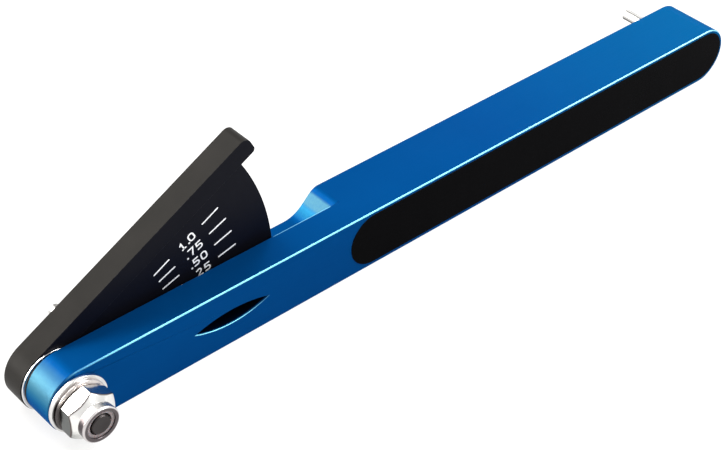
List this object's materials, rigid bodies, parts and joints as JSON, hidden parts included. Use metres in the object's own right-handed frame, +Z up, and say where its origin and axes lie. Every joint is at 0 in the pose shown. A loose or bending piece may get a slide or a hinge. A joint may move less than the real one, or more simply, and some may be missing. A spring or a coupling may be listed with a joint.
{
  "type": "chain wear gauge",
  "caption": "Square bar with a fixed pin and a pivoting pinned lever whose scale is read through a window, for gauging how far a roller chain has stretched.",
  "frame": {"origin": "middle of the bar's underside, half way along its length and depth", "axes": "+X along the bar from the pivot to the fixed pin, +Y from the front face with the nut and label to the rear where the pins stand out, +Z up, towards the side the lever opens to"},
  "size_m": [0.1752, 0.0295, 0.0363],
  "materials": {
    "anodised_blue": "blue anodised, satin, bright along the chamfers",
    "anodised_black": "black anodised, fine bead-blasted matt",
    "pin_steel": "ground steel",
    "screw_steel": "zinc plated steel, dull at the cut end",
    "washer_steel": "bright zinc plated",
    "spacer_steel": "polished steel",
    "spring_steel": "dark spring steel",
    "nut_steel": "bright nickel plated",
    "nylon_white": "white nylon",
    "nylon_insert": "greyish nylon",
    "label_black": "gloss black printed film"
  },
  "bodies": {
    "bar": {"body_bar": "anodised_blue", "label": "label_black", "fixed_pin": "pin_steel", "pivot_screw": "screw_steel", "spacer_washer": "spacer_steel", "head_washer": "nylon_white", "flat_washer": "washer_steel", "spring_washer": "spring_steel", "lock_nut": "nut_steel", "lock_insert": "nylon_insert"},
    "lever": {"lever": "anodised_black", "moving_pin": "pin_steel"}
  },
  "joints": [
    {"name": "lever_pivot", "type": "hinge", "parent": "bar", "child": "lever", "pos_m": [-0.0816, 0.0031, 0.00635], "axis": [0, 1, 0], "range_deg": [-315, 29.5]}
  ]
}
